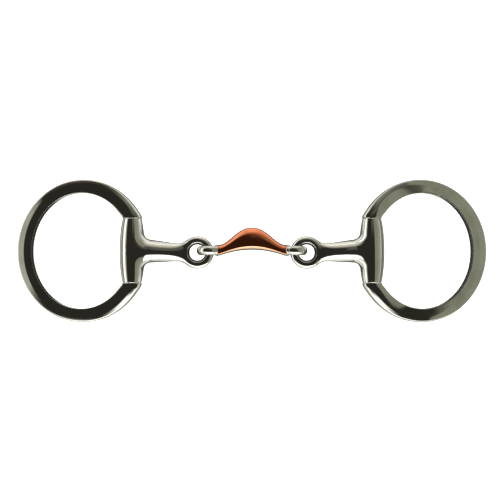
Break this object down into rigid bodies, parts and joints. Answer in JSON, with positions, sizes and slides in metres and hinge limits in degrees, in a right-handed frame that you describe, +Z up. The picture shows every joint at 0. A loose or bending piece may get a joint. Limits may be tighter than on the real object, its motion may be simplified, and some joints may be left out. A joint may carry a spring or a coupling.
{
  "type": "snaffle bit",
  "caption": "Flat-ring eggbutt snaffle bit: oval rings hinged in barrels, straight cannons with eyes, and a centre link with a copper port.",
  "frame": {"origin": "centre of the overall box, in the middle of the centre link, halfway up the barrels as the bit lies flat on a table", "axes": "+X along the mouthpiece towards the right ring, +Y along the hinge pins towards the side that the port arches to, +Z up from the table"},
  "size_m": [0.2834, 0.0858, 0.015],
  "materials": {
    "ring_steel": "polished stainless steel with faint buffing haze",
    "pin_steel": "turned stainless steel",
    "cannon_steel": "polished stainless steel",
    "link_steel": "polished stainless steel",
    "port_copper": "polished copper"
  },
  "bodies": {
    "link": {"center_link": "link_steel", "copper_port": "port_copper"},
    "left_cannon": {"left_cannon": "cannon_steel"},
    "right_cannon": {"right_cannon": "cannon_steel"},
    "left_cheek": {"left_ring": "ring_steel", "left_hinge_pin": "pin_steel"},
    "right_cheek": {"right_ring": "ring_steel", "right_hinge_pin": "pin_steel"}
  },
  "joints": [
    {"name": "left_fold", "type": "hinge", "parent": "link", "child": "left_cannon", "pos_m": [-0.02577, 0, 0], "axis": [0, 1, 0], "range_deg": [-45, 45]},
    {"name": "right_fold", "type": "hinge", "parent": "link", "child": "right_cannon", "pos_m": [0.02577, 0, 0], "axis": [0, 1, 0], "range_deg": [-45, 45]},
    {"name": "left_ring_swing", "type": "hinge", "parent": "left_cannon", "child": "left_cheek", "pos_m": [-0.0719, 0, 0], "axis": [0, 1, 0], "range_deg": [-85.9, 94.1]},
    {"name": "right_ring_swing", "type": "hinge", "parent": "right_cannon", "child": "right_cheek", "pos_m": [0.0719, 0, 0], "axis": [0, 1, 0], "range_deg": [-94.1, 85.9]}
  ]
}
